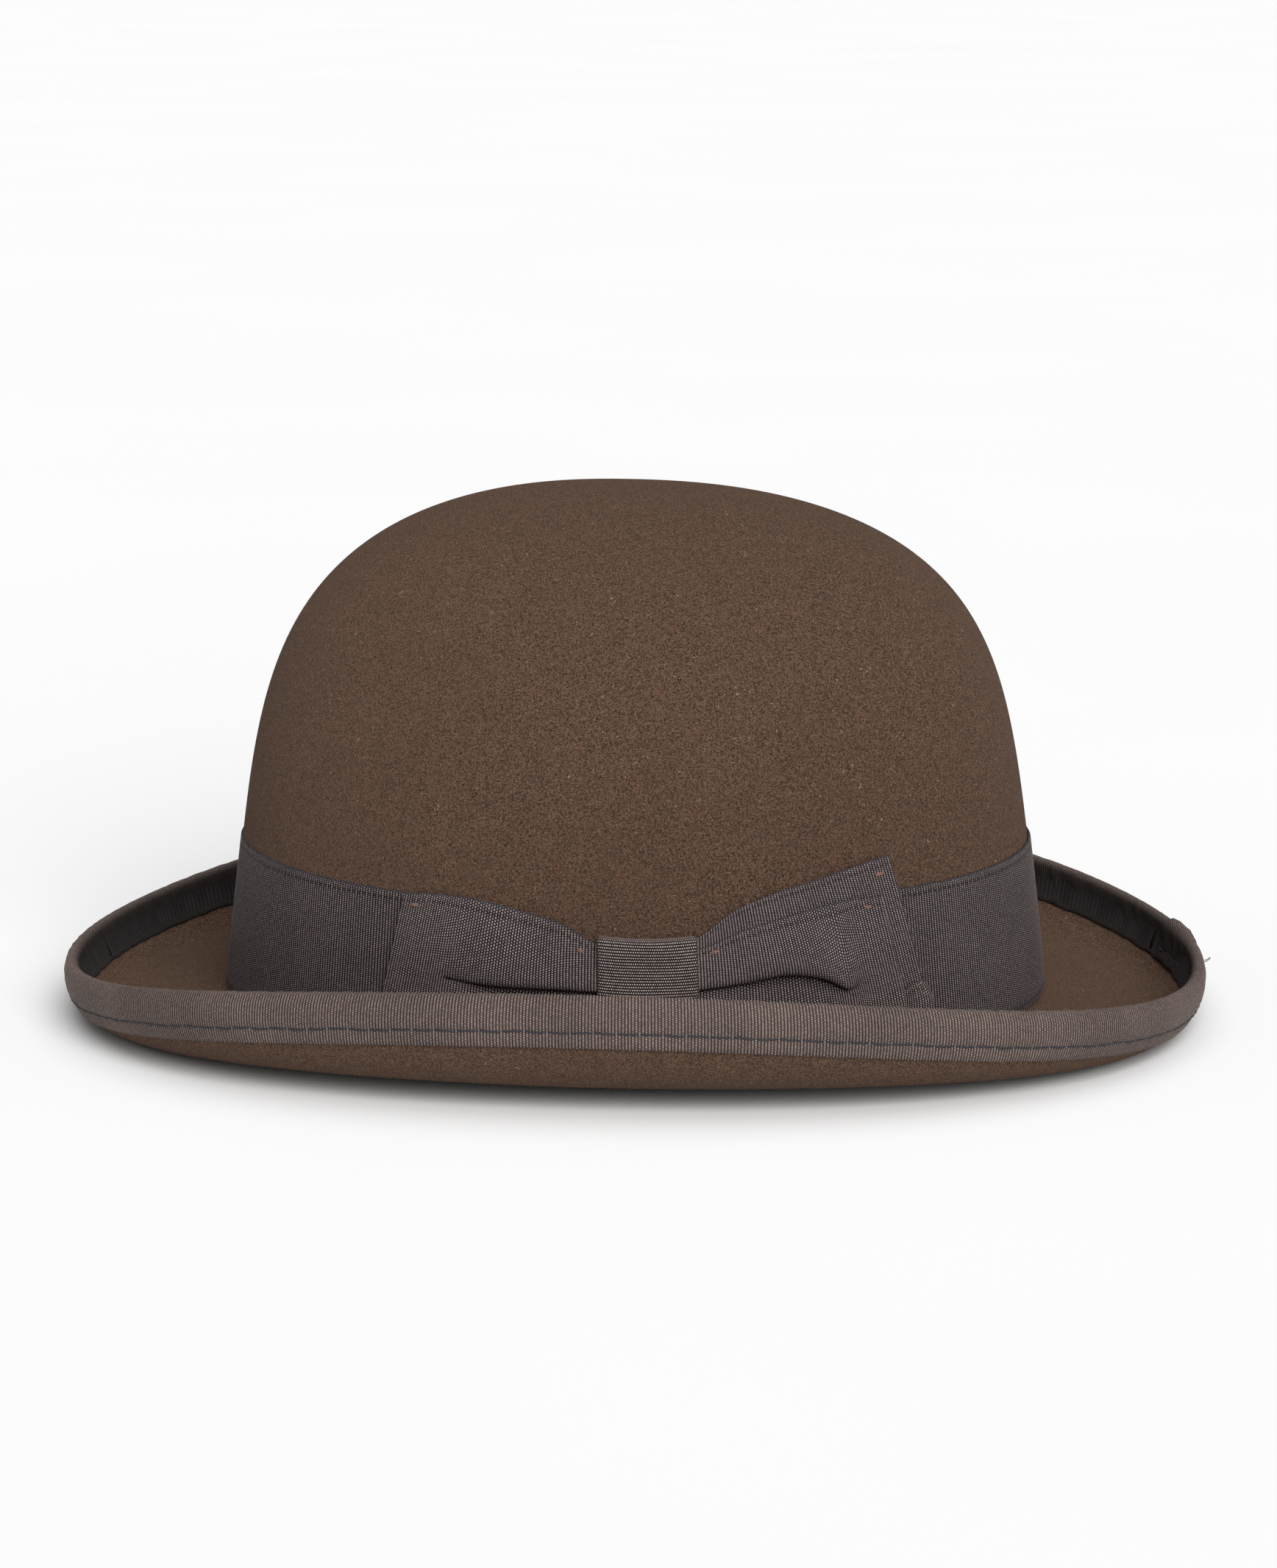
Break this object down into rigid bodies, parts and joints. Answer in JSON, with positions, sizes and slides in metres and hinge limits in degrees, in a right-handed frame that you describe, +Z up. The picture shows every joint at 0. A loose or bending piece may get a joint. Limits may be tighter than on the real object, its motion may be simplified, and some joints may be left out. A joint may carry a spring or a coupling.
{
  "type": "bowler hat",
  "caption": "Stiff felt bowler hat with a domed crown, a curled brim with a bound edge, a ribbon band with a side bow, a leather sweatband and a satin lining.",
  "frame": {"origin": "centre of the hat's outline seen from above, on the plane that the brim rests on", "axes": "+Z up through the crown, +X towards the back of the hat, -Y towards the wearer's left side, where the bow is"},
  "size_m": [0.2926, 0.2376, 0.1354],
  "materials": {
    "felt": "short-napped brown fur felt",
    "binding_ribbon": "ribbed taupe grosgrain",
    "band_ribbon": "ribbed grey-brown grosgrain",
    "dark_thread": "blue-black sewing thread",
    "rust_thread": "reddish-brown sewing thread",
    "leather": "smooth dark brown leather",
    "reed": "pale plastic reed",
    "tape": "dark cotton tape",
    "leather_thread": "tan sewing thread",
    "bow_ribbon": "narrow dark satin ribbon",
    "satin": "bronze-brown satin",
    "satin_thread": "brown sewing thread"
  },
  "bodies": {
    "root": {"felt_body": "felt", "brim_binding": "binding_ribbon", "binding_stitching": "dark_thread", "hat_band": "band_ribbon", "bow_front_loop": "band_ribbon", "bow_rear_loop": "band_ribbon", "bow_rear_tail": "band_ribbon", "bow_knot": "band_ribbon", "bow_tacks": "rust_thread", "sweatband": "leather", "sweatband_reed": "reed", "reed_tape": "tape", "reed_tape_stitching": "dark_thread", "sweatband_back_seam": "leather_thread", "sweatband_back_bow": "bow_ribbon", "lining_side": "satin", "lining_tip": "satin", "lining_seam_thread": "satin_thread"}
  },
  "joints": []
}
